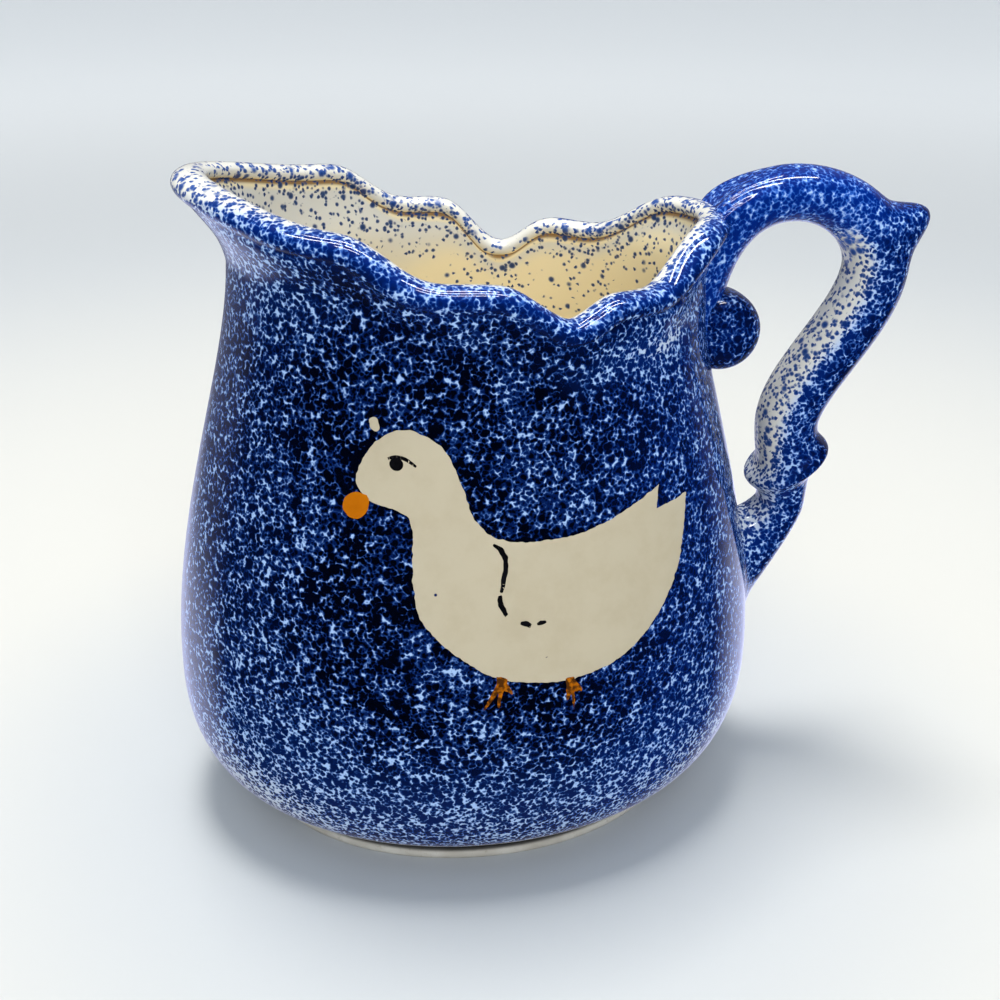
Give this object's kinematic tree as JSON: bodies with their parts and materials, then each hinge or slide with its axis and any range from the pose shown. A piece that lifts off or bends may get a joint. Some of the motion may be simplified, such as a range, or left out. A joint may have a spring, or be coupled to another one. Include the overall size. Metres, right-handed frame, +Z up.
{
  "type": "pitcher",
  "caption": "Oval-bellied glazed stoneware pitcher with a scalloped rolled rim, a pulled spout, a scroll handle with a thumb spur, and a painted farmyard duck on its front.",
  "frame": {"origin": "centre of the foot ring's bearing face, on the table", "axes": "+X from the spout to the handle, +Z up, so the painted duck faces -Y"},
  "size_m": [0.1909, 0.117, 0.1645],
  "materials": {
    "sponged_glaze": "glossy, sponged cobalt over pale clay",
    "bare_clay": "matte, unglazed",
    "white_glaze": "glossy cream white",
    "ochre_glaze": "glossy ochre",
    "black_glaze": "glossy black"
  },
  "bodies": {
    "root": {"body": "sponged_glaze", "foot_ring": "bare_clay", "handle": "sponged_glaze", "handle_curl": "sponged_glaze", "root_slip": "sponged_glaze", "tail_slip": "sponged_glaze", "duck_figure": "white_glaze", "duck_bill": "ochre_glaze", "duck_feet": "ochre_glaze", "duck_eye": "black_glaze", "duck_wing_line": "black_glaze"}
  },
  "joints": []
}
